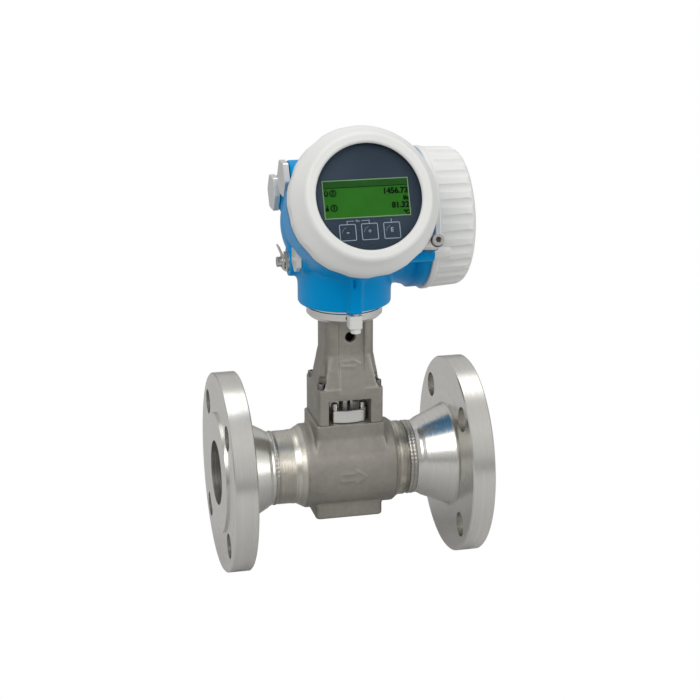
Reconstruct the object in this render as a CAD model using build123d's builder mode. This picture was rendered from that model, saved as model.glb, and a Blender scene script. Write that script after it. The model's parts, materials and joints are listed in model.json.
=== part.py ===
from build123d import *
from math import sin, cos, tan, radians, pi, sqrt
import os

os.makedirs("parts", exist_ok=True)

# ---------------------------------------------------------------- driving dimensions, mm
# The origin is the centre of the inlet raised face, +X is the flow direction, +Z is up.
FACE_TO_FACE = 200.0
XM = FACE_TO_FACE / 2          # the sensor axis is half way along the pipe
BORE_R = 24.6
FLANGE_R = 76.2
FLANGE_T = 19.05
FACE_R = 46.05
FACE_T = 1.6
PCD_R = 120.65 / 2
BOLT_HOLE_R = 9.525
HUB_R = 39.6
NECK_R = 28.2
BODY_R = 32.4
SEAT_Z = 38.7                  # top of the body's seat block
FOOT_Z = 66.6                  # top of the support neck's foot
NECK_TOP_Z = 119.2
COLLAR_TOP_Z = 128.4
BASE_R = 35.0                  # round base of the transmitter housing
BASE_Z = 129.8
SPIGOT_R = 26.0
TILT = 24.0                    # the display looks up by this angle
DISPLAY_Z = 192.66             # where the display axis crosses the sensor axis
TERM_Y, TERM_Z = 20.0, 185.6   # axis of the terminal compartment
TERM_R = 48.5
DISP_R = 48.8
MOUTH_R = 52.6
COVER_R = 54.3
THREAD_R = 48.0
THREAD_GAP = 0.08
MOUTH_S = 60.3                 # display mouth, measured along the display axis
MOUTH_X = XM + 60.3            # terminal mouth
WINDOW_R = 37.5
WINDOW_S = 85.4
PLUG_AF, PLUG_T = 25.2, 4.2
BOSS_R = 13.2                  # cable-entry bosses
FLUTES, FLUTE_START = 28, 2.0  # grip flutes of the terminal cover
SMALL_AF = 18.6

ct, st = cos(radians(TILT)), sin(radians(TILT))


def disp_plane(s, x=0.0, up=0.0):
    """Plane square to the display axis, s along the axis from the sensor axis."""
    return Plane(
        origin=(XM + x, -s * ct + up * st, DISPLAY_Z + s * st + up * ct),
        x_dir=(1, 0, 0),
        z_dir=(0, -ct, st),
    )


# plane that holds the display axis: local x is radius, local y runs along the axis
DISP_SECTION = Plane(origin=(XM, 0, DISPLAY_Z), x_dir=(1, 0, 0), z_dir=(0, -st, -ct))
DISP_AXIS = Axis((XM, 0, DISPLAY_Z), (0, -ct, st))
# plane that holds the terminal axis: local x is the row's x, local y is radius
TERM_SECTION = Plane(origin=(0, TERM_Y, TERM_Z), x_dir=(1, 0, 0), z_dir=(0, -1, 0))
TERM_AXIS = Axis((0, TERM_Y, TERM_Z), (1, 0, 0))
VERT_SECTION = Plane(origin=(XM, 0, 0), x_dir=(1, 0, 0), z_dir=(0, -1, 0))
VERT_AXIS = Axis((XM, 0, 0), (0, 0, 1))


def term_plane(x, y=TERM_Y, z=TERM_Z):
    """Plane facing +X."""
    return Plane(origin=(x, y, z), x_dir=(0, 1, 0), z_dir=(1, 0, 0))


def left_plane(x, y, z):
    """Plane facing -X."""
    return Plane(origin=(x, y, z), x_dir=(0, -1, 0), z_dir=(-1, 0, 0))


def save(builder, name):
    builder.part.label = name
    export_step(builder.part, f"parts/{name}.step")


# ---------------------------------------------------------------- flanges and welds
IN_HUB_END = XM - 59.0
OUT_HUB_END = XM + 51.8


def flange_profile(hub_end, land):
    """Half section of a weld-neck flange whose raised face is at x = 0: (x, radius)."""
    return [
        (0, BORE_R), (0, FACE_R), (FACE_T, FACE_R), (FACE_T, FLANGE_R - 0.8), (FACE_T + 0.8, FLANGE_R),
        (FLANGE_T - 0.8, FLANGE_R), (FLANGE_T, FLANGE_R - 0.8), (FLANGE_T, HUB_R + 0.3),
        (FLANGE_T + 1.0, HUB_R - 0.2), (hub_end - land - 4.0, NECK_R + 2.3), (hub_end - land - 1.5, NECK_R + 0.6),
        (hub_end - land, NECK_R), (hub_end, NECK_R), (hub_end, BORE_R),
    ]


with BuildPart() as inlet_flange:
    with BuildSketch(Plane.XZ):
        with BuildLine():
            Polyline(*flange_profile(IN_HUB_END, 0.6), close=True)
        make_face()
    revolve(axis=Axis.X)
    with BuildSketch(Plane.YZ):
        with PolarLocations(PCD_R, 4, start_angle=45):
            Circle(BOLT_HOLE_R)
    extrude(amount=FLANGE_T + 5, mode=Mode.SUBTRACT)
    root = inlet_flange.edges().filter_by(GeomType.CIRCLE).filter_by(
        lambda e: abs(e.radius - (HUB_R + 0.3)) < 0.01)
    fillet(root, 2.5)

with BuildPart() as outlet_flange:
    with BuildSketch(Plane.XZ):
        with BuildLine():
            Polyline(*[(FACE_TO_FACE - x, r) for x, r in flange_profile(FACE_TO_FACE - OUT_HUB_END, 2.8)], close=True)
        make_face()
    revolve(axis=Axis.X)
    with BuildSketch(Plane.YZ.offset(FACE_TO_FACE)):
        with PolarLocations(PCD_R, 4, start_angle=45):
            Circle(BOLT_HOLE_R)
    extrude(amount=-(FLANGE_T + 5), mode=Mode.SUBTRACT)
    root = outlet_flange.edges().filter_by(GeomType.CIRCLE).filter_by(
        lambda e: abs(e.radius - (HUB_R + 0.3)) < 0.01)
    fillet(root, 2.5)

save(inlet_flange, "inlet_flange")
save(outlet_flange, "outlet_flange")

IN_WELD = (IN_HUB_END, XM - 56.0)
OUT_WELD = (XM + 46.2, OUT_HUB_END)

with BuildPart() as inlet_weld:
    with BuildSketch(Plane.XZ):
        with BuildLine():
            a, b = IN_WELD
            Line((a, BORE_R), (a, NECK_R + 0.1))
            ThreePointArc((a, NECK_R + 0.1), ((a + b) / 2, NECK_R + 0.8), (b, NECK_R - 0.1))
            Line((b, NECK_R - 0.1), (b, BORE_R))
            Line((b, BORE_R), (a, BORE_R))
        make_face()
    revolve(axis=Axis.X)
save(inlet_weld, "inlet_weld")

with BuildPart() as outlet_weld:
    with BuildSketch(Plane.XZ):
        with BuildLine():
            a, b = OUT_WELD
            c = (a + b) / 2
            Line((a, BORE_R), (a, NECK_R - 0.1))
            ThreePointArc((a, NECK_R - 0.1), ((a + c) / 2, NECK_R + 0.45), (c, NECK_R + 0.05))
            ThreePointArc((c, NECK_R + 0.05), ((b + c) / 2, NECK_R + 0.45), (b, NECK_R - 0.1))
            Line((b, NECK_R - 0.1), (b, BORE_R))
            Line((b, BORE_R), (a, BORE_R))
        make_face()
    revolve(axis=Axis.X)
save(outlet_weld, "outlet_weld")

# ---------------------------------------------------------------- measuring body
SEAT_X, SEAT_Y = 27.0, 23.6    # half sizes of the body's seat block
FOOT_X, FOOT_Y = 24.9, 23.2    # half sizes of the neck's foot
BOLT_X, BOLT_Y = 21.6, 16.0    # the four neck bolts
BOLT_HEAD_R = 3.3
PROBE_BORE_R = 9.0
SENSOR_SCREWS = [(XM + 0.3 + i * 10.9, j * 12.0) for i in (-1, 1) for j in (-1, 1)]


def arrow_points(length, height, shaft, head, inset):
    """Flow arrow that points along local +x, shrunk by inset all round."""
    tip, h, s = length / 2 - inset * 1.6, height / 2 - inset * 1.5, shaft / 2 - inset
    x0 = length / 2 - head + inset * 0.6
    a = -length / 2 + inset
    return [(a, -s), (x0, -s), (x0, -h), (tip, 0), (x0, h), (x0, s), (a, s)]


with BuildPart() as flow_arrow:
    with BuildSketch(Plane(origin=(XM, -BODY_R - 5, -0.8), x_dir=(1, 0, 0), z_dir=(0, -1, 0))):
        Polygon(*arrow_points(20.6, 12.4, 6.6, 8.6, 0), align=None)
        Polygon(*arrow_points(20.6, 12.4, 6.6, 8.6, 1.0), align=None, mode=Mode.SUBTRACT)
    extrude(amount=-12)
    with BuildSketch(Plane.YZ.offset(XM)):
        Circle(BODY_R + 0.6)
    extrude(amount=30, both=True, mode=Mode.INTERSECT)

with BuildPart() as body_foot:
    with BuildSketch(Plane.XY.offset(-38.0)):
        with Locations((XM - 0.85, 0)):
            RectangleRounded(2 * 26.05, 2 * 21.0, 3.5)
    extrude(amount=22)
    fillet(body_foot.faces().sort_by(Axis.Z)[0].outer_wire().edges(), 1.8)

# seat block under the neck, its sides sloping out into the round body
with BuildPart() as body_seat:
    with BuildSketch(Plane.XY.offset(28)):
        with Locations((XM, 0)):
            RectangleRounded(2 * SEAT_X, 2 * SEAT_Y, 3.5)
    extrude(amount=SEAT_Z - 28)
    with BuildSketch(Plane.XY.offset(28)):
        with Locations((XM, 0)):
            RectangleRounded(2 * SEAT_X, 2 * SEAT_Y, 3.5)
    with BuildSketch(Plane.XY.offset(15)):
        with Locations((XM, 0)):
            RectangleRounded(2 * 30.5, 2 * 28.5, 3.5)
    loft(ruled=True)

with BuildPart() as meter_body:
    with BuildSketch(Plane.XZ):
        with BuildLine():
            Polyline(
                (XM - 56.0, BORE_R), (XM - 56.0, NECK_R - 0.5), (XM - 55.0, NECK_R - 0.5), (XM - 54.6, NECK_R),
                (XM - 44.0, NECK_R), (XM - 43.8, NECK_R + 0.35), (XM - 40.6, NECK_R + 0.35),
                (XM - 33.6, BODY_R), (XM + 33.6, BODY_R), (XM + 38.8, NECK_R + 0.5), (XM + 43.6, NECK_R + 0.5),
                (XM + 43.8, NECK_R), (XM + 44.8, NECK_R), (XM + 45.1, NECK_R - 0.5), (XM + 46.2, NECK_R - 0.5),
                (XM + 46.2, BORE_R), close=True)
        make_face()
    revolve(axis=Axis.X)
    add(body_seat.part)
    add(body_foot.part)
    with BuildSketch(Plane.YZ.offset(XM - 60)):
        Circle(BORE_R)
    extrude(amount=120, mode=Mode.SUBTRACT)
    # bore for the sensor, and tapped holes for the neck bolts and the sensor screws
    with BuildSketch(Plane.XY.offset(SEAT_Z)):
        with Locations((XM, 0)):
            Circle(PROBE_BORE_R)
    extrude(amount=-22, mode=Mode.SUBTRACT)
    with BuildSketch(Plane.XY.offset(SEAT_Z)):
        with Locations(*[(XM + i * BOLT_X, j * BOLT_Y) for i in (-1, 1) for j in (-1, 1)]):
            Circle(2.1)
    extrude(amount=-10, mode=Mode.SUBTRACT)
    with BuildSketch(Plane.XY.offset(SEAT_Z)):
        with Locations(*SENSOR_SCREWS):
            Circle(1.7)
    extrude(amount=-8, mode=Mode.SUBTRACT)
    add(flow_arrow.part)
save(meter_body, "meter_body")

# bar across the bore, blunt face upstream
with BuildPart() as bluff_body:
    with BuildSketch(Plane.XY.offset(-BORE_R)):
        with BuildLine():
            Polyline((XM - 31, -6.5), (XM - 31, 6.5), (XM - 29, 6.5), (XM - 14, 3.0), (XM - 14, -3.0), (XM - 29, -6.5),
                     close=True)
        make_face()
    extrude(amount=2 * BORE_R)
    with BuildSketch(Plane.YZ.offset(XM - 40)):
        Circle(BORE_R)
    extrude(amount=40, mode=Mode.INTERSECT)
save(bluff_body, "bluff_body")

# ---------------------------------------------------------------- sensor
GASKET_T = 0.7
FLG_Z0, FLG_Z1 = SEAT_Z + GASKET_T, 48.8

with BuildPart() as sensor_gasket:
    with BuildSketch(Plane.XY.offset(SEAT_Z)):
        with Locations((XM, 0)):
            Circle(13.0)
            Circle(PROBE_BORE_R + 0.2, mode=Mode.SUBTRACT)
    extrude(amount=GASKET_T)
save(sensor_gasket, "sensor_gasket")

with BuildPart() as sensor_flange:
    # a bowed nose to the front and to the back, and a plate between them for the screws
    with BuildSketch(Plane.XY.offset(FLG_Z0)):
        with Locations((XM - 0.7, 12.0)):
            Circle(33.0)
        with Locations((XM - 0.7, -12.0)):
            Circle(33.0, mode=Mode.INTERSECT)
        with Locations((XM - 0.7, 0)):
            Rectangle(24.0, 60, mode=Mode.INTERSECT)
        with Locations((XM + 0.3, 0)):
            RectangleRounded(27.6, 29.0, 2.0)
    extrude(amount=FLG_Z1 - FLG_Z0)
    with BuildSketch(Plane.XY.offset(FLG_Z0)):
        with Locations((XM, 0)):
            Circle(PROBE_BORE_R + 0.05)
    extrude(amount=5, mode=Mode.SUBTRACT)
    with BuildSketch(Plane.XY.offset(FLG_Z0)):
        with Locations((XM, 0)):
            Circle(4.6)
    extrude(amount=20, mode=Mode.SUBTRACT)
    with BuildSketch(Plane.XY.offset(FLG_Z0)):
        with Locations(*SENSOR_SCREWS):
            Circle(1.8)
    extrude(amount=20, mode=Mode.SUBTRACT)
    top = sensor_flange.faces().sort_by(Axis.Z)[-1].outer_wire().edges()
    chamfer(top, 0.5)
save(sensor_flange, "sensor_flange")

with BuildPart() as sensor_probe:
    with BuildSketch(VERT_SECTION):
        with BuildLine():
            Polyline((0, 20.5), (6, 20.5), (PROBE_BORE_R - 0.08, 23), (PROBE_BORE_R - 0.08, FLG_Z0 + 4.8), (4.5, FLG_Z0 + 4.8),
                     (4.5, 60.5), (2.4, 60.5), (2.4, 40), (0, 40), close=True)
        make_face()
    revolve(axis=VERT_AXIS)
    # thin paddle that the passing vortices bend from side to side
    with BuildSketch(Plane.XY.offset(20.6)):
        with Locations((XM, 0)):
            RectangleRounded(11, 2.2, 1.0)
    extrude(amount=-18)
save(sensor_probe, "sensor_probe")


with BuildPart() as sensor_screws:
    with BuildSketch(Plane.XY.offset(FLG_Z1)):
        with Locations(*SENSOR_SCREWS):
            Circle(2.5)
    extrude(amount=4.0)
    with BuildSketch(Plane.XY.offset(FLG_Z1)):
        with Locations(*SENSOR_SCREWS):
            Circle(1.6)
    extrude(amount=-(FLG_Z1 - SEAT_Z + 6))
    with BuildSketch(Plane.XY.offset(FLG_Z1 + 4.0)):
        with Locations(*SENSOR_SCREWS):
            RegularPolygon(1.25, 6, major_radius=False)
    extrude(amount=-2.4, mode=Mode.SUBTRACT)
    heads = sensor_screws.edges().filter_by(GeomType.CIRCLE).filter_by(
        lambda e: abs(e.radius - 2.5) < 0.01 and e.center().Z > FLG_Z1 + 2)
    chamfer(heads, 0.3)
save(sensor_screws, "sensor_screws")

# ---------------------------------------------------------------- support neck
TOWER_X, TOWER_Y = 37.6, 36.6  # section of the tower
TOWER_OFF = 0.8                # the tower stands this far along +X of the sensor axis
WIN_X, WIN_TOP = 16.25, 57.8
FLARE_Z = 92.0                 # where the tower starts to widen

with BuildPart() as neck_arrow:
    with BuildSketch(Plane(origin=(XM + 0.9, -22, 85.2), x_dir=(1, 0, 0), z_dir=(0, -1, 0))):
        Polygon(*arrow_points(15.1, 7.4, 4.4, 6.8, 0), align=None)
        Polygon(*arrow_points(15.1, 7.4, 4.4, 6.8, 0.75), align=None, mode=Mode.SUBTRACT)
    extrude(amount=-10)

with BuildPart() as support_neck:
    with BuildSketch(Plane.XY.offset(SEAT_Z)):
        with Locations((XM, 0)):
            RectangleRounded(2 * FOOT_X, 2 * FOOT_Y, 2.5)
    extrude(amount=FOOT_Z - SEAT_Z)
    with BuildSketch(Plane.XY.offset(FOOT_Z)):
        with Locations((XM + 0.4, 0)):
            RectangleRounded(48.6, 45.0, 6.0)
    with BuildSketch(Plane.XY.offset(FLARE_Z)):
        with Locations((XM + TOWER_OFF, 0)):
            RectangleRounded(TOWER_X, TOWER_Y, 8.0)
    loft(ruled=True)
    with BuildSketch(Plane.XY.offset(FLARE_Z)):
        with Locations((XM + TOWER_OFF, 0)):
            RectangleRounded(TOWER_X, TOWER_Y, 8.0)
    extrude(amount=NECK_TOP_Z - FLARE_Z)
    # pockets over the four foot bolts, and their holes
    with BuildSketch(Plane.XY.offset(FOOT_Z)):
        with Locations(*[(XM + i * BOLT_X, j * BOLT_Y) for i in (-1, 1) for j in (-1, 1)]):
            Circle(5.4)
    extrude(amount=7.5, mode=Mode.SUBTRACT)
    with BuildSketch(Plane.XY.offset(FOOT_Z)):
        with Locations(*[(XM + i * BOLT_X, j * BOLT_Y) for i in (-1, 1) for j in (-1, 1)]):
            Circle(4.5)
    extrude(amount=NECK_TOP_Z - FOOT_Z, mode=Mode.SUBTRACT)
    with BuildSketch(Plane.XY.offset(SEAT_Z)):
        with Locations(*[(XM + i * BOLT_X, j * BOLT_Y) for i in (-1, 1) for j in (-1, 1)]):
            Circle(2.3)
    extrude(amount=FOOT_Z - SEAT_Z, mode=Mode.SUBTRACT)
    # window through the foot, front to back
    with BuildSketch(Plane(origin=(XM, 0, 0), x_dir=(1, 0, 0), z_dir=(0, -1, 0))):
        with Locations((-0.85, (SEAT_Z + WIN_TOP) / 2)):
            Rectangle(2 * WIN_X, WIN_TOP - SEAT_Z)
    extrude(amount=30, both=True, mode=Mode.SUBTRACT)
    # sunk panels on the front and the back
    with BuildSketch(Plane.YZ.offset(XM + 1.3)):
        with BuildLine():
            Polyline((-30, 62), (-FOOT_Y, 62), (-16.4, FLARE_Z), (-16.4, NECK_TOP_Z), (-30, NECK_TOP_Z), close=True)
        make_face()
        with BuildLine():
            Polyline((30, 62), (FOOT_Y, 62), (16.4, FLARE_Z), (16.4, NECK_TOP_Z), (30, NECK_TOP_Z), close=True)
        make_face()
    extrude(amount=9.8, both=True, mode=Mode.SUBTRACT)
    # cable way, and the cross hole below the collar
    with BuildSketch(Plane.XY.offset(SEAT_Z)):
        with Locations((XM, 0)):
            Circle(12.0)
    extrude(amount=NECK_TOP_Z - SEAT_Z, mode=Mode.SUBTRACT)
    with BuildSketch(Plane(origin=(XM + 0.9, 0, 105.4), x_dir=(1, 0, 0), z_dir=(0, -1, 0))):
        Circle(3.95)
    extrude(amount=30, mode=Mode.SUBTRACT)
with BuildPart() as neck_arrow_cut:
    add(neck_arrow.part)
    with BuildSketch(Plane.YZ.offset(XM)):
        with BuildLine():
            Polyline((-FOOT_Y - 0.6, 62), (-17.0, FLARE_Z), (-17.0, 100), (-12, 100), (-12, 62), close=True)
        make_face()
    extrude(amount=30, both=True, mode=Mode.INTERSECT)
with BuildPart() as support_neck_full:
    add(support_neck.part)
    add(neck_arrow_cut.part)
save(support_neck_full, "support_neck")

NECK_BOLTS = [(XM + i * BOLT_X, j * BOLT_Y) for i in (-1, 1) for j in (-1, 1)]
with BuildPart() as neck_bolts:
    with BuildSketch(Plane.XY.offset(FOOT_Z)):
        with Locations(*NECK_BOLTS):
            Circle(BOLT_HEAD_R)
    extrude(amount=4.0)
    with BuildSketch(Plane.XY.offset(FOOT_Z)):
        with Locations(*NECK_BOLTS):
            Circle(2.0)
    extrude(amount=-(FOOT_Z - SEAT_Z + 8))
    with BuildSketch(Plane.XY.offset(FOOT_Z + 4.0)):
        with Locations(*NECK_BOLTS):
            RegularPolygon(1.5, 6, major_radius=False)
    extrude(amount=-2.6, mode=Mode.SUBTRACT)
    heads = neck_bolts.edges().filter_by(GeomType.CIRCLE).filter_by(
        lambda e: abs(e.radius - BOLT_HEAD_R) < 0.01 and e.center().Z > FOOT_Z + 2)
    fillet(heads, 0.5)
save(neck_bolts, "neck_bolts")

# ---------------------------------------------------------------- swivel collar
SPIGOT_TOP = 141.5
SEAL_Z = 136.0
SET_ANGLE = -98.0
with BuildPart() as swivel_collar:
    with BuildSketch(VERT_SECTION):
        with BuildLine():
            Polyline((12.0, NECK_TOP_Z), (26.2, NECK_TOP_Z), (28.6, 121.6), (28.6, 126.6), (27.9, 127.2),
                     (27.9, COLLAR_TOP_Z), (SPIGOT_R, COLLAR_TOP_Z), (SPIGOT_R, SEAL_Z - 1.3), (23.8, SEAL_Z - 1.3),
                     (23.8, SEAL_Z + 1.3), (SPIGOT_R, SEAL_Z + 1.3), (SPIGOT_R, SPIGOT_TOP - 1), (SPIGOT_R - 1, SPIGOT_TOP),
                     (20.0, SPIGOT_TOP), (20.0, 124.0), (12.0, 124.0), close=True)
        make_face()
    revolve(axis=VERT_AXIS)
    with BuildSketch(Plane(origin=(XM + 29 * cos(radians(SET_ANGLE)), 29 * sin(radians(SET_ANGLE)), 123.9),
                           x_dir=(-sin(radians(SET_ANGLE)), cos(radians(SET_ANGLE)), 0),
                           z_dir=(-cos(radians(SET_ANGLE)), -sin(radians(SET_ANGLE)), 0))):
        Circle(1.6)
    extrude(amount=8, mode=Mode.SUBTRACT)
save(swivel_collar, "swivel_collar")

with BuildPart() as collar_set_screw:
    with BuildSketch(Plane(origin=(XM + 27.9 * cos(radians(SET_ANGLE)), 27.9 * sin(radians(SET_ANGLE)), 123.9),
                           x_dir=(-sin(radians(SET_ANGLE)), cos(radians(SET_ANGLE)), 0),
                           z_dir=(-cos(radians(SET_ANGLE)), -sin(radians(SET_ANGLE)), 0))) as set_face:
        Circle(1.55)
    extrude(amount=6)
    with BuildSketch(set_face.workplanes[0]):
        RegularPolygon(0.8, 6, major_radius=False)
    extrude(amount=1.6, mode=Mode.SUBTRACT)
save(collar_set_screw, "collar_set_screw")

with BuildPart() as swivel_seal:
    with BuildSketch(VERT_SECTION):
        with Locations((SPIGOT_R - 1.08, SEAL_Z)):
            Circle(1.05)
    revolve(axis=VERT_AXIS)
save(swivel_seal, "swivel_seal")

with BuildPart() as sensor_cable:
    with BuildSketch(Plane.XY.offset(41)):
        with Locations((XM, 0)):
            Circle(2.3)
    extrude(amount=134 - 41)
save(sensor_cable, "sensor_cable")

# ---------------------------------------------------------------- transmitter housing
P1 = (XM - 45.2, 11.2, 222.9)      # outer face centres of the cable-entry plugs
P2 = (XM - 46.6, 43.1, 205.2)
P3 = (XM - 41.0, -14.0, 168.7)     # small plug
GND = (XM - 41.5, 8.0, 160.5)      # face of the earth boss
P1_FACE, P2_FACE, P3_FACE = P1[0] + PLUG_T + 0.6, P2[0] + PLUG_T + 0.6, P3[0] + 3.6 + 0.5
LEAD_DIR = (0, -0.632, 0.775)      # the lead slopes from the neck to the electronics
LEAD_Z = 137.4
LEAD_PLANE = Plane(origin=(XM, 0, LEAD_Z), x_dir=(1, 0, 0), z_dir=LEAD_DIR)
SCREW_3 = [(36 * cos(radians(a)), 36 * sin(radians(a))) for a in (90, 210, 330)]
CLAMP_R = 59.6
CLAMP_DIR = (0.853, -0.522)
DC = (CLAMP_R * CLAMP_DIR[0], CLAMP_R * CLAMP_DIR[1])     # display clamp, in the display's own plane
TC = (-38.4, 172.2)                                       # terminal clamp, y and z
LOCK_Y = -34.5


with BuildPart() as transmitter_housing:
    # round base on the swivel, with its front rib
    with BuildSketch(Plane.XY.offset(BASE_Z)):
        with Locations((XM, 0)):
            Circle(BASE_R)
    extrude(amount=TERM_Z - BASE_Z)
    with BuildSketch(Plane.XY.offset(BASE_Z - 0.4)):
        with Locations((XM - 0.2, -33.2)):
            Rectangle(10.2, 9.6)
    extrude(amount=29)
    # terminal compartment: a tube with a rounded blind end
    with BuildSketch(TERM_SECTION):
        with BuildLine():
            Line((XM + 5 - TERM_R, 0), (XM + 55, 0))
            Line((XM + 55, 0), (XM + 55, TERM_R))
            Line((XM + 55, TERM_R), (XM + 5, TERM_R))
            RadiusArc((XM + 5, TERM_R), (XM + 5 - TERM_R, 0), -TERM_R)
        make_face()
    revolve(axis=TERM_AXIS)
    with BuildSketch(term_plane(XM + 50)):
        Circle(MOUTH_R - 0.4)
    extrude(amount=MOUTH_X - XM - 50)
    with BuildSketch(TERM_SECTION):
        Polygon((XM + 41, 47), (XM + 41, TERM_R - 0.2), (XM + 47, TERM_R + 1.4), (XM + 50.2, MOUTH_R - 0.4), (XM + 50.2, 47), align=None)
    revolve(axis=TERM_AXIS)
    # display compartment, tapering to the rear
    with BuildSketch(DISP_SECTION):
        Polygon((0, -14), (42, -14), (DISP_R, 14), (DISP_R, 52), (0, 52), align=None)
    revolve(axis=DISP_AXIS)
    with BuildSketch(disp_plane(50)):
        Circle(MOUTH_R)
    extrude(amount=MOUTH_S - 50)
    with BuildSketch(DISP_SECTION):
        Polygon((47, 42), (DISP_R - 0.2, 42), (DISP_R + 1.4, 47), (MOUTH_R, 50.2), (47, 50.2), align=None)
    revolve(axis=DISP_AXIS)
    # cable-entry bosses, each with a root in the tube
    with BuildSketch(left_plane(P1_FACE, P1[1], P1[2])):
        Circle(BOSS_R)
    extrude(amount=-40)
    with BuildSketch(left_plane(P2_FACE, P2[1], P2[2])):
        Circle(BOSS_R)
    extrude(amount=-40)
    with BuildSketch(left_plane(P1_FACE, (P1[1] + P2[1]) / 2, (P1[2] + P2[2]) / 2)):
        Rectangle(36, 26, rotation=29.0)
    extrude(amount=-40)
    # boss of the small plug, and the boss of the earth terminal
    with BuildSketch(left_plane(P3_FACE, P3[1], P3[2])):
        Circle(11.4)
    extrude(amount=-30)
    with BuildSketch(left_plane(GND[0], GND[1], GND[2])):
        Circle(11.2)
    extrude(amount=-34)
    # bosses that the two cover clamps stand on
    with BuildSketch(disp_plane(40)):
        with Locations(DC):
            Circle(5.4)
        with Locations((DC[0] * 0.89, DC[1] * 0.89)):
            Rectangle(14, 10.8, rotation=-31.5)
    extrude(amount=14.5)
    with BuildSketch(term_plane(XM + 36, TC[0], TC[1])):
        Circle(5.4)
        with Locations((7.5, 1.7)):
            Rectangle(15, 10.8, rotation=13.0)
    extrude(amount=21.7)

housing_outside = transmitter_housing.part

with BuildPart() as transmitter_housing:
    add(housing_outside)
    # spot faces under the plugs and the earth terminal
    for (px, py, pz), face, r in ((P1, P1_FACE, 16.2), (P2, P2_FACE, 16.2), (P3, P3_FACE, 12.0), (GND, GND[0], 9.6)):
        with BuildSketch(left_plane(face, py, pz)):
            Circle(r)
        extrude(amount=16, mode=Mode.SUBTRACT)
    # electronics compartment and its female thread
    with BuildSketch(disp_plane(22)):
        Circle(45.2)
    extrude(amount=60, mode=Mode.SUBTRACT)
    with BuildSketch(disp_plane(46)):
        Circle(THREAD_R + THREAD_GAP)
    extrude(amount=40, mode=Mode.SUBTRACT)
    with BuildSketch(disp_plane(MOUTH_S - 2.6)):
        Circle(50.9)
    extrude(amount=10, mode=Mode.SUBTRACT)
    # terminal compartment and its female thread
    with BuildSketch(TERM_SECTION):
        with BuildLine():
            Line((XM + 8 - 40.5, 0), (XM + 49, 0))
            Line((XM + 49, 0), (XM + 49, 40.5))
            Line((XM + 49, 40.5), (XM + 8, 40.5))
            RadiusArc((XM + 8, 40.5), (XM + 8 - 40.5, 0), -40.5)
        make_face()
    revolve(axis=TERM_AXIS, mode=Mode.SUBTRACT)
    with BuildSketch(term_plane(XM + 46)):
        Circle(THREAD_R + THREAD_GAP)
    extrude(amount=40, mode=Mode.SUBTRACT)
    with BuildSketch(term_plane(MOUTH_X - 2.6)):
        Circle(50.9)
    extrude(amount=10, mode=Mode.SUBTRACT)
    # bore for the swivel spigot, and the sloping way for the lead
    with BuildSketch(Plane.XY.offset(BASE_Z - 5)):
        with Locations((XM, 0)):
            Circle(SPIGOT_R + 0.05)
    extrude(amount=142.5 - BASE_Z + 5, mode=Mode.SUBTRACT)
    with BuildSketch(LEAD_PLANE):
        Circle(3.6)
    extrude(amount=54, mode=Mode.SUBTRACT)
    # threaded holes of the plugs
    for (px, py, pz), face, r, deep in ((P1, P1_FACE, 9.9, 44), (P2, P2_FACE, 9.9, 34), (P3, P3_FACE, 6.9, 40)):
        with BuildSketch(left_plane(face, py, pz)):
            Circle(r)
        extrude(amount=-deep, mode=Mode.SUBTRACT)
    # hole of the feed through the wall between the compartments
    with BuildSketch(disp_plane(10, 0, -2)):
        Circle(9.0)
    extrude(amount=20, mode=Mode.SUBTRACT)
    # tapped holes: electronics, earth terminal, clamps, swivel lock
    with BuildSketch(disp_plane(22.5)):
        with Locations(*SCREW_3):
            Circle(1.6)
    extrude(amount=-6, mode=Mode.SUBTRACT)
    with BuildSketch(left_plane(GND[0], GND[1], GND[2])):
        Circle(2.6)
    extrude(amount=-9, mode=Mode.SUBTRACT)
    with BuildSketch(disp_plane(56)):
        with Locations(DC):
            Circle(2.1)
    extrude(amount=-12, mode=Mode.SUBTRACT)
    with BuildSketch(term_plane(XM + 59, TC[0], TC[1])):
        Circle(2.1)
    extrude(amount=-12, mode=Mode.SUBTRACT)
    with BuildSketch(Plane.XY.offset(BASE_Z - 5)):
        with Locations((XM + 0.6, LOCK_Y)):
            Circle(2.1)
    extrude(amount=15, mode=Mode.SUBTRACT)
    # slot in the rib
    with BuildSketch(Plane(origin=(XM - 1.2, -42, 152.6), x_dir=(1, 0, 0), z_dir=(0, -1, 0))):
        SlotCenterToCenter(5.0, 2.2, rotation=90)
    extrude(amount=-6.5, mode=Mode.SUBTRACT)
save(transmitter_housing, "transmitter_housing")


# lead from the top of the neck to the electronics
with BuildPart() as electronics_cable:
    with BuildLine() as lead_path:
        FilletPolyline((XM, 0, 134.3), (XM, 0, LEAD_Z), (XM, 52 * LEAD_DIR[1], LEAD_Z + 52 * LEAD_DIR[2]), radius=3.0)
    with BuildSketch(Plane.XY.offset(134.3)):
        with Locations((XM, 0)):
            Circle(2.0)
    sweep(path=lead_path.line)
save(electronics_cable, "electronics_cable")

# ---------------------------------------------------------------- swivel lock
with BuildPart() as swivel_lock_claw:
    with BuildSketch(Plane.XY.offset(118.6)):
        with Locations((XM, -34.2)):
            Rectangle(9.9, 9.4)
    extrude(amount=9.5)
    with BuildSketch(Plane.XY.offset(118.0)):
        with Locations((XM, 0)):
            Circle(29.1)
    extrude(amount=12, mode=Mode.SUBTRACT)
    with BuildSketch(Plane.XY.offset(118.0)):
        with Locations((XM + 0.6, LOCK_Y)):
            Circle(2.3)
    extrude(amount=12, mode=Mode.SUBTRACT)
    front = swivel_lock_claw.edges().filter_by(Axis.Z).sort_by(Axis.Y)[0:2]
    fillet(front, 1.5)
save(swivel_lock_claw, "swivel_lock_claw")

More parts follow.
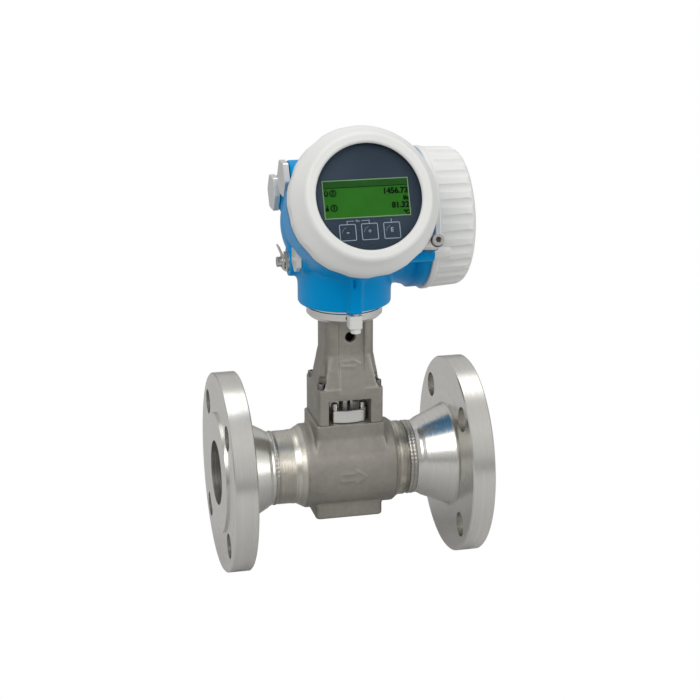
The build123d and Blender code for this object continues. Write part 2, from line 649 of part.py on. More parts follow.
with BuildPart() as swivel_lock_screw:
    with BuildSketch(Plane.XY.offset(114.3)):
        with Locations((XM + 0.6, LOCK_Y)):
            Circle(3.8)
    extrude(amount=4.0)
    with BuildSketch(Plane.XY.offset(118.3)):
        with Locations((XM + 0.6, LOCK_Y)):
            Circle(2.05)
    extrude(amount=19)
    with BuildSketch(Plane.XY.offset(114.3)):
        with Locations((XM + 0.6, LOCK_Y)):
            RegularPolygon(1.6, 6, major_radius=False)
    extrude(amount=2.4, mode=Mode.SUBTRACT)
    fillet(swivel_lock_screw.edges().filter_by(GeomType.CIRCLE).filter_by(lambda e: abs(e.radius - 3.8) < 0.01)
           .sort_by(Axis.Z)[0], 0.5)
save(swivel_lock_screw, "swivel_lock_screw")

# ---------------------------------------------------------------- electronics and feed through
with BuildPart() as feedthrough:
    with BuildSketch(disp_plane(15, 0, -2)):
        Circle(8.9)
    extrude(amount=8.6)
    with BuildSketch(disp_plane(12, 0, -2)):
        with PolarLocations(4.6, 6):
            Circle(0.8)
    extrude(amount=4)
save(feedthrough, "feedthrough")

with BuildPart() as electronics_module:
    with BuildSketch(disp_plane(24)):
        Circle(43.4)
    extrude(amount=26)
    with BuildSketch(disp_plane(22)):
        with Locations(*SCREW_3):
            Circle(4.0)
    extrude(amount=2)
    with BuildSketch(disp_plane(21)):
        with Locations(*SCREW_3):
            Circle(1.8)
    extrude(amount=30, mode=Mode.SUBTRACT)
    with BuildSketch(disp_plane(45.5)):
        with Locations(*SCREW_3):
            Circle(3.4)
    extrude(amount=6, mode=Mode.SUBTRACT)
    with BuildSketch(Plane(origin=(XM, 46 * LEAD_DIR[1], LEAD_Z + 46 * LEAD_DIR[2]), x_dir=(1, 0, 0), z_dir=LEAD_DIR)):
        Circle(2.5)
    extrude(amount=12, mode=Mode.SUBTRACT)
save(electronics_module, "electronics_module")

with BuildPart() as electronics_screws:
    with BuildSketch(disp_plane(45.5)):
        with Locations(*SCREW_3):
            Circle(3.0)
    extrude(amount=3.0)
    with BuildSketch(disp_plane(17.5)):
        with Locations(*SCREW_3):
            Circle(1.5)
    extrude(amount=28)
    with BuildSketch(disp_plane(47.0)):
        with Locations(*SCREW_3):
            RegularPolygon(1.25, 6, major_radius=False)
    extrude(amount=2, mode=Mode.SUBTRACT)
save(electronics_screws, "electronics_screws")

# ---------------------------------------------------------------- display
SCREEN_W, SCREEN_H, SCREEN_X, SCREEN_UP, SCREEN_S = 62.2, 27.4, -0.9, -0.3, 79.3

with BuildPart() as display_module:
    with BuildSketch(disp_plane(50)):
        Circle(41.0)
    extrude(amount=26.6)
    with BuildSketch(disp_plane(76.6)):
        Circle(38.7)
    extrude(amount=2.8)
    with BuildSketch(disp_plane(SCREEN_S + 0.1)):
        with Locations((SCREEN_X, SCREEN_UP)):
            Rectangle(SCREEN_W + 0.3, SCREEN_H + 0.3)
    extrude(amount=-1.5, mode=Mode.SUBTRACT)
save(display_module, "display_module")

with BuildPart() as display_screen:
    with BuildSketch(disp_plane(SCREEN_S)):
        with Locations((SCREEN_X, SCREEN_UP)):
            Rectangle(SCREEN_W, SCREEN_H)
    extrude(amount=-1.4)
save(display_screen, "display_screen")

with BuildPart() as display_cover:
    with BuildSketch(DISP_SECTION):
        with BuildLine():
            Polyline((38.7, 85.3), (38.0, 84.2), (41.6, 84.2), (41.6, 80.6), (44.5, 80.6), (44.5, 48.8), (45.1, 48.2),
                     (47.4, 48.2), (THREAD_R, 48.8), (THREAD_R, 60.6), (53.7, 60.6), (COVER_R, 61.2), (COVER_R, 67.6))
            Bezier((COVER_R, 67.6), (54.1, 71.5), (51.6, 74.8), (49.2, 78.6))
            Bezier((49.2, 78.6), (47.0, 82.0), (46.4, 85.4), (43.6, 85.8))
            Line((43.6, 85.8), (39.7, 85.8))
            Line((39.7, 85.8), (38.7, 85.3))
        make_face()
    revolve(axis=DISP_AXIS)
    # broad shallow scallops round the rim
    with BuildSketch(disp_plane(58)):
        with PolarLocations(COVER_R + 80 - 0.8, 12, start_angle=7):
            Circle(80)
    extrude(amount=24, mode=Mode.SUBTRACT)
save(display_cover, "display_cover")

with BuildPart() as display_window:
    with BuildSketch(disp_plane(80.6)):
        Circle(41.5)
    extrude(amount=3.6)
save(display_window, "display_window")

with BuildPart() as window_retainer:
    with BuildSketch(disp_plane(77.6)):
        Circle(44.4)
        Circle(39.3, mode=Mode.SUBTRACT)
    extrude(amount=3.0)
    with BuildSketch(disp_plane(77.6)):
        with PolarLocations(41.9, 4, start_angle=45):
            Circle(1.0)
    extrude(amount=1.6, mode=Mode.SUBTRACT)
save(window_retainer, "window_retainer")

with BuildPart() as display_cover_seal:
    with BuildSketch(DISP_SECTION):
        with Locations((49.45, 59.1)):
            Circle(1.3)
    revolve(axis=DISP_AXIS)
save(display_cover_seal, "display_cover_seal")


def polar(r, a):
    return (r * cos(radians(a)), r * sin(radians(a)))


CLAMP_GAP_R = COVER_R + 0.35
with BuildPart() as display_cover_clamp:
    with BuildSketch(disp_plane(55.0)):
        with Locations(DC):
            Circle(5.0)
        Polygon((DC[0] + 5.0 * CLAMP_DIR[0] * 0.25 - 4.85 * 0.522, DC[1] - 5.0 * 0.522 * 0.25 - 4.85 * 0.853),
                DC, polar(53.0, -35.5), polar(53.0, -41.5), align=None)
        Circle(CLAMP_GAP_R, mode=Mode.SUBTRACT)
    extrude(amount=11.0)
    with BuildSketch(disp_plane(54.0)):
        with Locations(DC):
            Circle(2.3)
    extrude(amount=13, mode=Mode.SUBTRACT)
save(display_cover_clamp, "display_cover_clamp")

with BuildPart() as display_clamp_screw:
    with BuildSketch(disp_plane(66.0)):
        with Locations(DC):
            Circle(4.3)
    extrude(amount=4.2)
    with BuildSketch(disp_plane(66.0)):
        with Locations(DC):
            Circle(2.0)
    extrude(amount=-20)
    with BuildSketch(disp_plane(70.2)):
        with Locations(DC):
            RegularPolygon(2.0, 6, major_radius=False)
    extrude(amount=-2.8, mode=Mode.SUBTRACT)
    top = display_clamp_screw.edges().filter_by(GeomType.CIRCLE).filter_by(lambda e: abs(e.radius - 4.3) < 0.01)
    chamfer(top.sort_by(DISP_AXIS)[-1], 0.4)
save(display_clamp_screw, "display_clamp_screw")

# ---------------------------------------------------------------- terminal compartment
with BuildPart() as terminal_carrier:
    with BuildSketch(term_plane(XM + 20)):
        Circle(40.3)
        with Locations((0, 30), (-26, 18)):
            Circle(7.5, mode=Mode.SUBTRACT)
    extrude(amount=3)
    with BuildSketch(term_plane(XM + 23)):
        with Locations((0, -4)):
            RectangleRounded(60, 22, 2)
    extrude(amount=3)
save(terminal_carrier, "terminal_carrier")

TERMINALS = [(-24.5 + 7 * i, -4) for i in range(8)]
with BuildPart() as terminal_block:
    with BuildSketch(term_plane(XM + 26)):
        with Locations((0, -4)):
            Rectangle(57, 16)
    extrude(amount=11)
    with BuildSketch(term_plane(XM + 37)):
        with Locations(*[(y, z + 3) for y, z in TERMINALS]):
            Circle(2.6)
    extrude(amount=-4, mode=Mode.SUBTRACT)
    with BuildSketch(term_plane(XM + 37)):
        with Locations(*[(y, z - 4) for y, z in TERMINALS]):
            Rectangle(4.4, 4.0)
    extrude(amount=-7, mode=Mode.SUBTRACT)
save(terminal_block, "terminal_block")

with BuildPart() as terminal_screws:
    with BuildSketch(term_plane(XM + 33)):
        with Locations(*[(y, z + 3) for y, z in TERMINALS]):
            Circle(2.3)
    extrude(amount=2.6)
    with BuildSketch(term_plane(XM + 35.6)):
        with Locations(*[(y, z + 3) for y, z in TERMINALS]):
            Rectangle(4.8, 0.8)
    extrude(amount=-1.2, mode=Mode.SUBTRACT)
save(terminal_screws, "terminal_screws")

with BuildPart() as inner_ground_screw:
    with BuildSketch(term_plane(XM + 23)):
        with Locations((0, -28)):
            Circle(5.0)
    extrude(amount=1.0)
    with BuildSketch(term_plane(XM + 24)):
        with Locations((0, -28)):
            Circle(3.6)
    extrude(amount=3.0)
    with BuildSketch(term_plane(XM + 27)):
        with Locations((0, -28)):
            Rectangle(7.6, 1.0)
    extrude(amount=-1.4, mode=Mode.SUBTRACT)
save(inner_ground_screw, "inner_ground_screw")

with BuildPart() as terminal_cover:
    with BuildSketch(TERM_SECTION):
        with BuildLine():
            Polyline((XM + 95.8, 0), (XM + 95.2, 20), (XM + 92.8, 34), (XM + 89.0, 42.0), (XM + 86.0, 44.0), (XM + 48.8, 44.0),
                     (XM + 48.2, 44.6), (XM + 48.2, 47.4), (XM + 48.8, THREAD_R), (XM + 60.6, THREAD_R), (XM + 60.6, 53.7),
                     (XM + 61.2, COVER_R), (XM + 64.2, COVER_R), (XM + 65.2, 53.5), (XM + 86.5, 52.4))
            Bezier((XM + 86.5, 52.4), (XM + 91.8, 52.0), (XM + 93.6, 47.6), (XM + 95.6, 41.0))
            Bezier((XM + 95.6, 41.0), (XM + 97.6, 33.0), (XM + 99.2, 18.0), (XM + 99.2, 0))
            Line((XM + 99.2, 0), (XM + 95.8, 0))
        make_face()
    revolve(axis=TERM_AXIS)
    # grip flutes, leaning in so that they run out over the shoulder
    for i in range(FLUTES):
        a = radians(FLUTE_START + i * 360 / FLUTES)
        lean = radians(5.0)
        r = 52.3 + 5.0
        with BuildSketch(Plane(
            origin=(XM + 66.6, TERM_Y + r * cos(a), TERM_Z + r * sin(a)),
            x_dir=(0, -sin(a), cos(a)),
            z_dir=(cos(lean), -sin(lean) * cos(a), -sin(lean) * sin(a)),
        )):
            Circle(5.0)
        extrude(amount=36, mode=Mode.SUBTRACT)
save(terminal_cover, "terminal_cover")

with BuildPart() as terminal_cover_seal:
    with BuildSketch(TERM_SECTION):
        with Locations((XM + 59.1, 49.45)):
            Circle(1.3)
    revolve(axis=TERM_AXIS)
save(terminal_cover_seal, "terminal_cover_seal")

TC_OFF = (TC[0] - TERM_Y, TC[1] - TERM_Z)
with BuildPart() as terminal_cover_clamp:
    with BuildSketch(term_plane(XM + 58.0)):
        with Locations(TC_OFF):
            Circle(5.0)
        Polygon(TC_OFF, polar(53.0, 197.0), polar(53.0, 203.0), (TC_OFF[0] - 0.2, TC_OFF[1] - 5.0), align=None)
        Circle(CLAMP_GAP_R, mode=Mode.SUBTRACT)
    extrude(amount=8.4)
    with BuildSketch(term_plane(XM + 57.0)):
        with Locations(TC_OFF):
            Circle(2.3)
    extrude(amount=12, mode=Mode.SUBTRACT)
save(terminal_cover_clamp, "terminal_cover_clamp")

with BuildPart() as terminal_clamp_screw:
    with BuildSketch(term_plane(XM + 66.4)):
        with Locations(TC_OFF):
            Circle(4.3)
    extrude(amount=4.2)
    with BuildSketch(term_plane(XM + 66.4)):
        with Locations(TC_OFF):
            Circle(2.0)
    extrude(amount=-18)
    with BuildSketch(term_plane(XM + 70.6)):
        with Locations(TC_OFF):
            RegularPolygon(2.0, 6, major_radius=False)
    extrude(amount=-2.8, mode=Mode.SUBTRACT)
    chamfer(terminal_clamp_screw.edges().filter_by(GeomType.CIRCLE).filter_by(lambda e: abs(e.radius - 4.3) < 0.01)
            .sort_by(Axis.X)[-1], 0.4)
save(terminal_clamp_screw, "terminal_clamp_screw")


# ---------------------------------------------------------------- plugs and earth terminal
def plug(centre, af, t, shank_r, length, rim, turn=0):
    """Hexagon plug, its outer face at centre, the shank pointing along +X."""
    with BuildPart() as made:
        with BuildSketch(left_plane(*centre)):
            RegularPolygon(af / 2, 6, major_radius=False, rotation=turn)
            Circle(rim, mode=Mode.INTERSECT)
        extrude(amount=-t)
        with BuildSketch(left_plane(centre[0] + t, centre[1], centre[2])):
            Circle(shank_r)
        extrude(amount=-length)
        chamfer(made.faces().sort_by(Axis.X)[0].outer_wire().edges(), 0.35)
    return made


def flat_ring(centre, x0, x1, r_in, r_out):
    """Washer or flat seal between x0 and x1."""
    with BuildPart() as made:
        with BuildSketch(left_plane(x0, centre[1], centre[2])):
            Circle(r_out)
            Circle(r_in, mode=Mode.SUBTRACT)
        extrude(amount=-(x1 - x0))
    return made


cable_plug_front = plug(P1, PLUG_AF, PLUG_T, 9.82, 11, 14.2)
cable_plug_rear = plug(P2, PLUG_AF, PLUG_T, 9.82, 11, 14.2)
small_plug = plug(P3, SMALL_AF, 3.6, 6.82, 9, 10.5, 30)
save(cable_plug_front, "cable_plug_front")
save(cable_plug_rear, "cable_plug_rear")
save(small_plug, "small_plug")

plug_seal_front = flat_ring(P1, P1[0] + PLUG_T + 0.05, P1_FACE - 0.05, 9.9, 12.3)
plug_seal_rear = flat_ring(P2, P2[0] + PLUG_T + 0.05, P2_FACE - 0.05, 9.9, 12.3)
small_plug_seal = flat_ring(P3, P3[0] + 3.65, P3_FACE - 0.05, 6.9, 9.0)
save(plug_seal_front, "plug_seal_front")
save(plug_seal_rear, "plug_seal_rear")
save(small_plug_seal, "small_plug_seal")

ground_washer = flat_ring(GND, GND[0] - 1.2, GND[0], 2.7, 7.5)
save(ground_washer, "ground_washer")

with BuildPart() as ground_clip:
    gx, gy, gz = GND
    with BuildSketch(Plane(origin=(0, gy - 4.6, 0), x_dir=(1, 0, 0), z_dir=(0, -1, 0))):
        with BuildLine():
            Polyline((gx - 1.2, gz - 6.5), (gx - 1.2, gz + 6.5), (gx - 2.2, gz + 6.5), (gx - 2.2, gz - 5.0), (gx - 3.4, gz - 4.0),
                     (gx - 3.4, gz + 5.0), (gx - 6.6, gz + 12.6), (gx - 7.7, gz + 12.1), (gx - 4.6, gz + 4.6),
                     (gx - 4.6, gz - 5.0), (gx - 2.8, gz - 6.5), close=True)
        make_face()
    extrude(amount=-9.2)
    with BuildSketch(left_plane(gx - 6, gy, gz)):
        Circle(2.8)
    extrude(amount=-5, mode=Mode.SUBTRACT)
save(ground_clip, "ground_clip")

with BuildPart() as ground_screw:
    with BuildSketch(left_plane(gx - 4.6, gy, gz)):
        Circle(3.8)
    extrude(amount=3.6)
    with BuildSketch(left_plane(gx - 4.6, gy, gz)):
        Circle(2.45)
    extrude(amount=-12.6)
    with BuildSketch(left_plane(gx - 8.2, gy, gz)):
        Rectangle(1.1, 8, rotation=25)
    extrude(amount=-1.6, mode=Mode.SUBTRACT)
save(ground_screw, "ground_screw")
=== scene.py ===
import json
import math

import bmesh
import bpy
import numpy as np
from mathutils import Matrix, Vector

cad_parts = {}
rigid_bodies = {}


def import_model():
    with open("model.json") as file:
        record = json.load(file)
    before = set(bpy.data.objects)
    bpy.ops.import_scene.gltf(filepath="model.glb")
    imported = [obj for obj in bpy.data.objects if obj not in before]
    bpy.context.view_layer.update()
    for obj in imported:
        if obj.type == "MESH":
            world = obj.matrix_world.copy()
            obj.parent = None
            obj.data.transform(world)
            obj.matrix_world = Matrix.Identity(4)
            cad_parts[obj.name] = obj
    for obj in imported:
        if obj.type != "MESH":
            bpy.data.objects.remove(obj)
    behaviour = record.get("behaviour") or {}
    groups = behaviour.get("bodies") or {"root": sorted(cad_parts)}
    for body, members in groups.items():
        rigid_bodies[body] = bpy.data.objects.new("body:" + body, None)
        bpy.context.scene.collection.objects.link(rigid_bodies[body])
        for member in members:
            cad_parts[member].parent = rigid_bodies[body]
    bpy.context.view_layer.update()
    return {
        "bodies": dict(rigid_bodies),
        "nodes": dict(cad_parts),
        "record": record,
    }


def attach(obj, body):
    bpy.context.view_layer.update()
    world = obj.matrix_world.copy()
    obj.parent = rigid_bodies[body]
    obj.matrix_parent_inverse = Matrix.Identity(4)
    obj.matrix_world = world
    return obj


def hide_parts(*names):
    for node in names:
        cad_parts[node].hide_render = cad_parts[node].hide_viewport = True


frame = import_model()
nodes = frame["nodes"]

MM = 0.001
XM = 0.100
TILT = math.radians(24.0)
CT, ST = math.cos(TILT), math.sin(TILT)
DISPLAY_Z = 0.19266


# ------------------------------------------------------------------ places
def disp(x, up, s):
    """Point in the display's own plane, mm: x right, up along the plane, s out along the display axis."""
    return Vector((XM + x * MM, (-s * CT + up * ST) * MM, DISPLAY_Z + (s * ST + up * CT) * MM))


DISP_ROT = Matrix(((1, 0, 0), (0, ST, -CT), (0, CT, ST)))     # columns: right, up, out


def disp_matrix(x, up, s):
    m = DISP_ROT.to_4x4()
    m.translation = disp(x, up, s)
    return m


# ------------------------------------------------------------------ materials
def principled(name, color, rough, metal=0.0, spec=0.5, coat=0.0, coat_rough=0.1):
    m = bpy.data.materials.new(name)
    m.use_nodes = True
    b = m.node_tree.nodes["Principled BSDF"]
    b.inputs["Base Color"].default_value = (*color, 1)
    b.inputs["Roughness"].default_value = rough
    b.inputs["Metallic"].default_value = metal
    b.inputs["Specular IOR Level"].default_value = spec
    b.inputs["Coat Weight"].default_value = coat
    b.inputs["Coat Roughness"].default_value = coat_rough
    return m, m.node_tree, b


def coords(nt):
    return nt.nodes.new("ShaderNodeTexCoord").outputs["Object"]


def noise(nt, vec, scale, detail=3.0, rough=0.55, dims="3D"):
    n = nt.nodes.new("ShaderNodeTexNoise")
    n.noise_dimensions = dims
    n.inputs["Scale"].default_value = scale
    n.inputs["Detail"].default_value = detail
    n.inputs["Roughness"].default_value = rough
    nt.links.new(vec, n.inputs["W" if dims == "1D" else "Vector"])
    return n.outputs["Fac"]


def ramp(nt, fac, stops):
    r = nt.nodes.new("ShaderNodeValToRGB")
    e = r.color_ramp.elements
    while len(e) < len(stops):
        e.new(0.5)
    for i, (p, c) in enumerate(stops):
        e[i].position = p
        e[i].color = (*c, 1) if len(c) == 3 else c
    nt.links.new(fac, r.inputs["Fac"])
    return r.outputs["Color"]


def to_range(nt, fac, lo, hi, a=0.0, b=1.0):
    r = nt.nodes.new("ShaderNodeMapRange")
    r.inputs["From Min"].default_value = a
    r.inputs["From Max"].default_value = b
    r.inputs["To Min"].default_value = lo
    r.inputs["To Max"].default_value = hi
    nt.links.new(fac, r.inputs["Value"])
    return r.outputs["Result"]


def math_node(nt, op, a, b=None):
    n = nt.nodes.new("ShaderNodeMath")
    n.operation = op
    for i, v in enumerate((a, b)):
        if v is None:
            continue
        if isinstance(v, (int, float)):
            n.inputs[i].default_value = v
        else:
            nt.links.new(v, n.inputs[i])
    return n.outputs[0]


def bump(nt, bsdf, height, strength, distance, normal=None):
    b = nt.nodes.new("ShaderNodeBump")
    b.inputs["Strength"].default_value = strength
    b.inputs["Distance"].default_value = distance
    nt.links.new(height, b.inputs["Height"])
    if normal is not None:
        nt.links.new(normal, b.inputs["Normal"])
    nt.links.new(b.outputs["Normal"], bsdf.inputs["Normal"])
    return b.outputs["Normal"]


def turned(name, light, dark, rough_lo, rough_hi, centre, axis="X", metal=1.0, pitch=2600.0, cut=0.10):
    """Lathe-turned metal: fine rings that follow the radius on faces and the length on cylinders."""
    m, nt, b = principled(name, light, rough_lo, metal)
    sep = nt.nodes.new("ShaderNodeSeparateXYZ")
    nt.links.new(coords(nt), sep.inputs[0])
    s = {"X": sep.outputs[0], "Y": sep.outputs[1], "Z": sep.outputs[2]}
    along = s[axis]
    others = [math_node(nt, "SUBTRACT", s[k], c) for k, c in zip("XYZ", centre) if k != axis]
    rr = math_node(nt, "SQRT", math_node(nt, "ADD", math_node(nt, "MULTIPLY", others[0], others[0]),
                                         math_node(nt, "MULTIPLY", others[1], others[1])))
    w = math_node(nt, "ADD", along, rr)
    fine = noise(nt, w, pitch, 2.0, 0.6, "1D")
    broad = noise(nt, w, pitch / 14, 2.0, 0.6, "1D")
    cloud = noise(nt, coords(nt), 26.0, 4.0, 0.6)
    mix = math_node(nt, "ADD", math_node(nt, "MULTIPLY", fine, 0.45), math_node(nt, "ADD", math_node(
        nt, "MULTIPLY", broad, 0.30), math_node(nt, "MULTIPLY", cloud, 0.25)))
    nt.links.new(ramp(nt, mix, [(0.30, dark), (0.70, light)]), b.inputs["Base Color"])
    nt.links.new(to_range(nt, mix, rough_hi, rough_lo, 0.3, 0.7), b.inputs["Roughness"])
    bump(nt, b, fine, cut, 0.00006)
    return m


def cast(name, light, dark, rough_lo, rough_hi, metal=0.85, grain=1500.0, depth=0.00012, strength=0.35):
    """Bead-blasted casting: dense fine grain and soft clouds."""
    m, nt, b = principled(name, light, rough_lo, metal)
    v = coords(nt)
    g = noise(nt, v, grain, 3.0, 0.6)
    c = noise(nt, v, 45.0, 4.0, 0.6)
    mid = noise(nt, v, 260.0, 3.0, 0.6)
    mix = math_node(nt, "ADD", math_node(nt, "MULTIPLY", c, 0.5), math_node(nt, "ADD", math_node(nt, "MULTIPLY", g, 0.2),
                    math_node(nt, "MULTIPLY", mid, 0.3)))
    nt.links.new(ramp(nt, mix, [(0.36, dark), (0.64, light)]), b.inputs["Base Color"])
    nt.links.new(to_range(nt, mix, rough_hi, rough_lo, 0.3, 0.7), b.inputs["Roughness"])
    h = math_node(nt, "ADD", g, math_node(nt, "MULTIPLY", mid, 1.2))
    bump(nt, b, h, strength, depth)
    return m


def cast_body(name, light, dark, bright, bright_dark):
    """Casting whose two pipe ends are turned bright: the change follows the distance from the sensor axis."""
    m = cast(name, light, dark, 0.44, 0.60, 0.72)
    nt = m.node_tree
    b = nt.nodes["Principled BSDF"]
    sep = nt.nodes.new("ShaderNodeSeparateXYZ")
    nt.links.new(coords(nt), sep.inputs[0])
    away = math_node(nt, "ABSOLUTE", math_node(nt, "SUBTRACT", sep.outputs[0], XM))
    edge = to_range(nt, away, 0.0, 1.0, 0.0345, 0.0358)
    rings = noise(nt, sep.outputs[0], 900.0, 3.0, 0.6, "1D")
    cloud = noise(nt, coords(nt), 60.0, 3.0, 0.6)
    both = math_node(nt, "ADD", math_node(nt, "MULTIPLY", rings, 0.6), math_node(nt, "MULTIPLY", cloud, 0.4))
    turned_tone = ramp(nt, both, [(0.34, bright_dark), (0.66, bright)])
    for name_in, value, kind in (("Base Color", turned_tone, "RGBA"), ("Roughness", to_range(nt, both, 0.36, 0.24, 0.3, 0.7), "FLOAT"),
                                 ("Metallic", None, "FLOAT")):
        mix = nt.nodes.new("ShaderNodeMix")
        mix.data_type = kind
        nt.links.new(edge, mix.inputs["Factor"])
        old = b.inputs[name_in].links[0].from_socket if b.inputs[name_in].links else None
        ia, ib, out = (6, 7, 2) if kind == "RGBA" else (2, 3, 0)
        if old is not None:
            nt.links.new(old, mix.inputs[ia])
        else:
            mix.inputs[ia].default_value = 0.72
        if value is not None:
            nt.links.new(value, mix.inputs[ib])
        else:
            mix.inputs[ib].default_value = 1.0
        nt.links.new(mix.outputs[out], b.inputs[name_in])
    return m


def powder(name, color, deep, rough=0.36, peel=1100.0, strength=0.10, coat=0.25, spec=0.5):
    """Powder coat: orange peel and a very slight change of tone."""
    m, nt, b = principled(name, color, rough, 0.0, spec, coat, 0.22)
    v = coords(nt)
    p = noise(nt, v, peel, 2.0, 0.5)
    c = noise(nt, v, 30.0, 3.0, 0.5)
    nt.links.new(ramp(nt, c, [(0.25, deep), (0.75, color)]), b.inputs["Base Color"])
    nt.links.new(to_range(nt, p, rough - 0.05, rough + 0.07, 0.3, 0.7), b.inputs["Roughness"])
    bump(nt, b, p, strength, 0.00008)
    return m


def moulded(name, color, rough=0.5, grain=1600.0, strength=0.15, spec=0.5):
    m, nt, b = principled(name, color, rough, 0.0, spec)
    v = coords(nt)
    p = noise(nt, v, grain, 2.0, 0.5)
    c = noise(nt, v, 60.0, 3.0, 0.5)
    dark = tuple(k * 0.86 for k in color)
    nt.links.new(ramp(nt, c, [(0.3, dark), (0.7, color)]), b.inputs["Base Color"])
    nt.links.new(to_range(nt, p, rough - 0.06, rough + 0.08, 0.3, 0.7), b.inputs["Roughness"])
    bump(nt, b, p, strength, 0.00005)
    return m


PIPE = (0.0, 0.0, 0.0)
flange_steel = turned("flange_steel", (0.76, 0.745, 0.705), (0.66, 0.645, 0.605), 0.20, 0.30, PIPE, "X", 1.0, 2600.0, 0.05)
weld_steel = cast("weld_steel", (0.52, 0.50, 0.46), (0.36, 0.345, 0.32), 0.30, 0.45, 1.0, 900.0, 0.0001, 0.3)
cast_steel = cast("cast_steel", (0.36, 0.34, 0.305), (0.28, 0.265, 0.235), 0.44, 0.60, 0.72)
body_steel = cast_body("body_steel", (0.36, 0.34, 0.305), (0.28, 0.265, 0.235), (0.66, 0.635, 0.575), (0.50, 0.475, 0.425))
bright_steel = turned("bright_steel", (0.78, 0.765, 0.73), (0.66, 0.645, 0.61), 0.18, 0.30, (XM, 0, 0), "Z", 1.0, 2600.0, 0.06)
screw_steel = cast("screw_steel", (0.60, 0.59, 0.565), (0.47, 0.46, 0.44), 0.22, 0.34, 1.0, 2200.0, 0.00005, 0.2)
dark_steel = cast("dark_steel", (0.11, 0.11, 0.115), (0.06, 0.06, 0.065), 0.35, 0.5, 0.9, 2400.0, 0.00005, 0.2)
blue_paint = powder("blue_paint", (0.0, 0.285, 0.64), (0.0, 0.258, 0.585), 0.34, 1100.0, 0.08, 0.0, 0.4)
blue_paint.node_tree.nodes["Principled BSDF"].inputs["Specular Tint"].default_value = (0.05, 0.55, 0.9, 1)
cover_paint = powder("cover_paint", (0.735, 0.735, 0.715), (0.70, 0.70, 0.68), 0.44, 1100.0, 0.08, 0.05, 0.4)
nickel = turned("nickel", (0.80, 0.79, 0.765), (0.70, 0.69, 0.665), 0.26, 0.38, (XM, 0.011, 0.223), "X", 0.65, 2600.0, 0.05)
bolt_steel = cast("bolt_steel", (0.27, 0.265, 0.255), (0.19, 0.185, 0.18), 0.32, 0.45, 0.9, 2200.0, 0.00005, 0.2)
rubber = moulded("rubber", (0.018, 0.018, 0.018), 0.6)
graphite = moulded("graphite", (0.05, 0.05, 0.052), 0.5)
sheath = moulded("sheath", (0.35, 0.35, 0.34), 0.55)
grey_plastic = moulded("grey_plastic", (0.11, 0.115, 0.125), 0.5)
green_plastic = moulded("green_plastic", (0.05, 0.20, 0.08), 0.45)
aluminium = turned("aluminium", (0.60, 0.60, 0.60), (0.5, 0.5, 0.5), 0.28, 0.4, (XM, 0, 0.19), "Z")
clamp_paint = powder("clamp_paint", (0.74, 0.735, 0.70), (0.69, 0.685, 0.65), 0.36, 1500.0, 0.06, 0.1, 0.5)
panel_foil, nt, b = principled("panel_foil", (0.036, 0.056, 0.082), 0.42, 0.0, 0.18)
g = noise(nt, coords(nt), 14.0, 1.0)
nt.links.new(ramp(nt, g, [(0.3, (0.026, 0.042, 0.064)), (0.7, (0.046, 0.070, 0.100))]), b.inputs["Base Color"])

glass, nt, b = principled("window_glass", (0.010, 0.016, 0.024), 0.04, 0.0, 0.25)
g = noise(nt, coords(nt), 20.0)
nt.links.new(to_range(nt, g, 0.03, 0.06), b.inputs["Roughness"])
b.inputs["Alpha"].default_value = 0.05


def lcd_with_painted_glow(name, color, glow, spec=0.1):
    """Liquid-crystal field and display print with a very slight unevenness; the emission is painted glow that stands in
    for the light the recess under the glass shades away.
    """
    m, nt, b = principled(name, color, 0.5, 0.0, spec)
    v = noise(nt, coords(nt), 55.0, 2.0)
    tone = ramp(nt, v, [(0.3, tuple(k * 0.92 for k in color)), (0.7, tuple(k * 1.08 for k in color))])
    nt.links.new(tone, b.inputs["Base Color"])
    nt.links.new(tone, b.inputs["Emission Color"])
    b.inputs["Emission Strength"].default_value = glow
    return m


# Painted glow: the screen, header, ink, border and the key print on the panel all emit light to make up for the shade
# of the recess.
lcd_green = lcd_with_painted_glow("lcd_green", (0.0165, 0.110, 0.0070), 0.42)
lcd_header = lcd_with_painted_glow("lcd_header", (0.0105, 0.062, 0.0075), 0.40)
ink = lcd_with_painted_glow("lcd_ink", (0.0006, 0.0035, 0.0006), 0.2, 0.05)
lcd_rim = lcd_with_painted_glow("lcd_rim", (0.17, 0.27, 0.16), 0.35)
key_print_painted_glow = lcd_with_painted_glow("key_print_painted_glow", (0.30, 0.37, 0.44), 0.25)

SLOTS = {
    "flange_steel": flange_steel, "weld_steel": weld_steel, "cast_steel": cast_steel, "bright_steel": bright_steel,
    "dark_steel": dark_steel, "graphite": graphite, "cable_sheath": sheath, "seal_rubber": rubber,
    "blue_paint": blue_paint, "cover_paint": cover_paint, "module_plastic": grey_plastic,
    "terminal_plastic": green_plastic, "display_panel": panel_foil, "screen": lcd_green, "window_glass": glass,
    "aluminium_ring": aluminium, "nickel": nickel,
}
SPECIAL = {
    "sensor_screws": screw_steel, "display_clamp_screw": screw_steel, "terminal_clamp_screw": clamp_paint,
    "neck_bolts": bolt_steel,
    "display_cover_clamp": clamp_paint, "terminal_cover_clamp": clamp_paint, "swivel_lock_claw": clamp_paint,
    "swivel_lock_screw": clamp_paint, "ground_screw": screw_steel, "ground_clip": screw_steel,
    "ground_washer": screw_steel, "electronics_screws": screw_steel, "terminal_screws": screw_steel,
    "inner_ground_screw": screw_steel, "meter_body": body_steel,
}
slot_of = {p["node"]: p["material_slot"] for p in frame["record"]["subparts"]}
slot_body = {n: next(k for k, e in frame["bodies"].items() if o.parent == e) for n, o in nodes.items()}
for name, o in nodes.items():
    want = SPECIAL.get(name) or SLOTS[slot_of[name]]
    if not o.material_slots:
        o.data.materials.append(want)
    for s in o.material_slots:
        s.material = want


# ------------------------------------------------------------------ display print
def link(o):
    bpy.context.scene.collection.objects.link(o)
    return o


